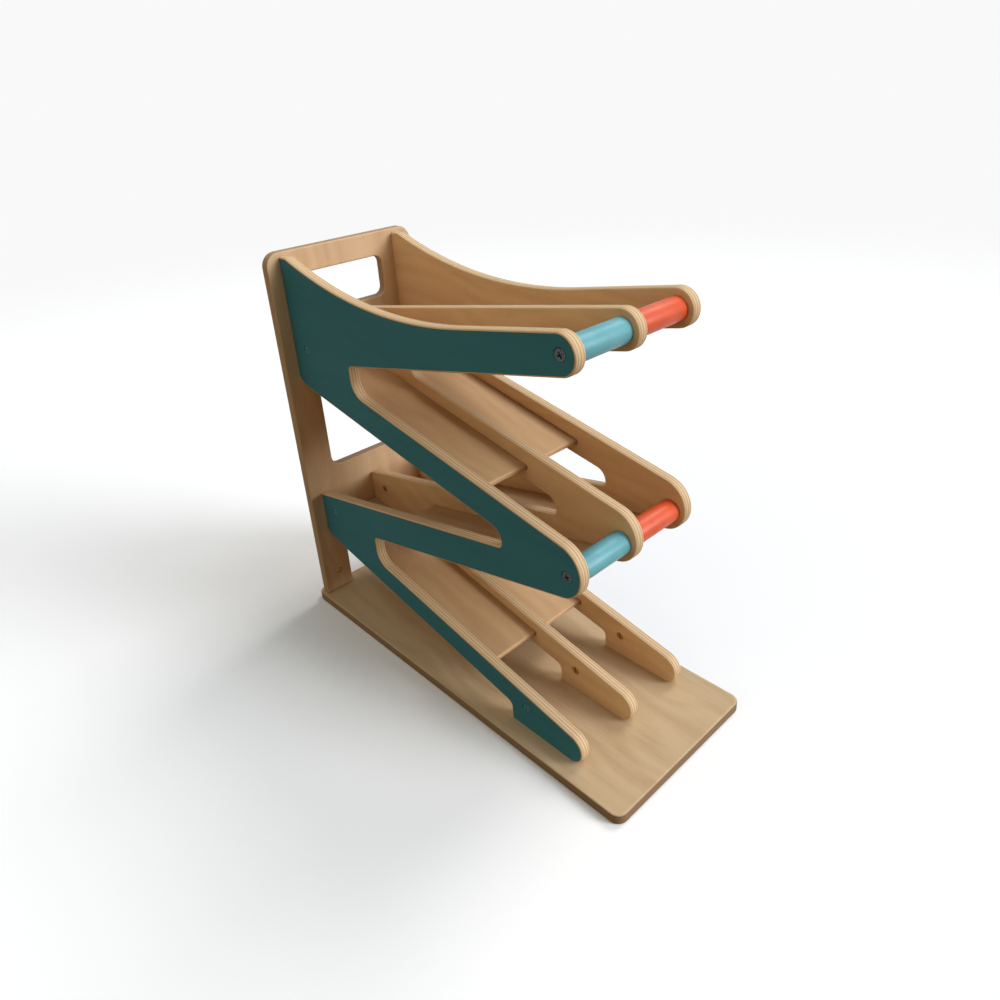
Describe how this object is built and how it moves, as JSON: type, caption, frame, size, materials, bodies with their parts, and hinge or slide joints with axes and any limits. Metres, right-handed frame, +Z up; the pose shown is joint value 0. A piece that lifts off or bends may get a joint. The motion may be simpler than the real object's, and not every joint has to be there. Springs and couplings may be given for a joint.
{
  "type": "wooden toy car ramp",
  "caption": "Free-standing plywood toy ramp with a hand slot: cars zig-zag down two walled lanes of sloping decks, dropping from each to the next, and roll out on the base.",
  "frame": {"origin": "under the middle of the base board, on the surface the ramp stands on", "axes": "+X to the front where the cars roll out, +Y to the lane with the coral dowels, +Z up"},
  "size_m": [0.418, 0.165, 0.373],
  "materials": {
    "birch_ply": "clear satin birch plywood",
    "teal_faced_ply": "birch plywood with a satin teal outer face and bare edges",
    "blue_paint": "satin paint on wood",
    "coral_paint": "satin paint on wood",
    "zinc_steel": "zinc plated",
    "bronzed_steel": "dark bronzed"
  },
  "bodies": {
    "root": {"back_bolt_high_centre": "zinc_steel", "back_bolt_high_left": "zinc_steel", "back_bolt_high_right": "zinc_steel", "back_bolt_low_centre": "zinc_steel", "back_bolt_low_left": "zinc_steel", "back_bolt_low_right": "zinc_steel", "back_nut_high_centre": "bronzed_steel", "back_nut_high_left": "bronzed_steel", "back_nut_high_right": "bronzed_steel", "back_nut_low_centre": "bronzed_steel", "back_nut_low_left": "bronzed_steel", "back_nut_low_right": "bronzed_steel", "back_panel": "birch_ply", "base_board": "birch_ply", "centre_divider": "birch_ply", "dowel_pin_lower": "zinc_steel", "dowel_pin_upper": "zinc_steel", "dowel_screw_lower_left": "bronzed_steel", "dowel_screw_lower_right": "bronzed_steel", "dowel_screw_upper_left": "bronzed_steel", "dowel_screw_upper_right": "bronzed_steel", "foot_bolt_centre": "zinc_steel", "foot_bolt_left": "zinc_steel", "foot_bolt_right": "zinc_steel", "foot_nut_centre": "bronzed_steel", "foot_nut_left": "bronzed_steel", "foot_nut_right": "bronzed_steel", "left_side_panel": "teal_faced_ply", "leg_bolt_left": "zinc_steel", "leg_bolt_right": "zinc_steel", "leg_nut_left": "bronzed_steel", "leg_nut_right": "bronzed_steel", "lower_deck_left": "birch_ply", "lower_deck_right": "birch_ply", "lower_dowel_left": "blue_paint", "lower_dowel_right": "coral_paint", "middle_deck_left": "birch_ply", "middle_deck_right": "birch_ply", "right_side_panel": "teal_faced_ply", "top_deck_left": "birch_ply", "top_deck_right": "birch_ply", "upper_deck_left": "birch_ply", "upper_deck_right": "birch_ply", "upper_dowel_left": "blue_paint", "upper_dowel_right": "coral_paint"}
  },
  "joints": []
}
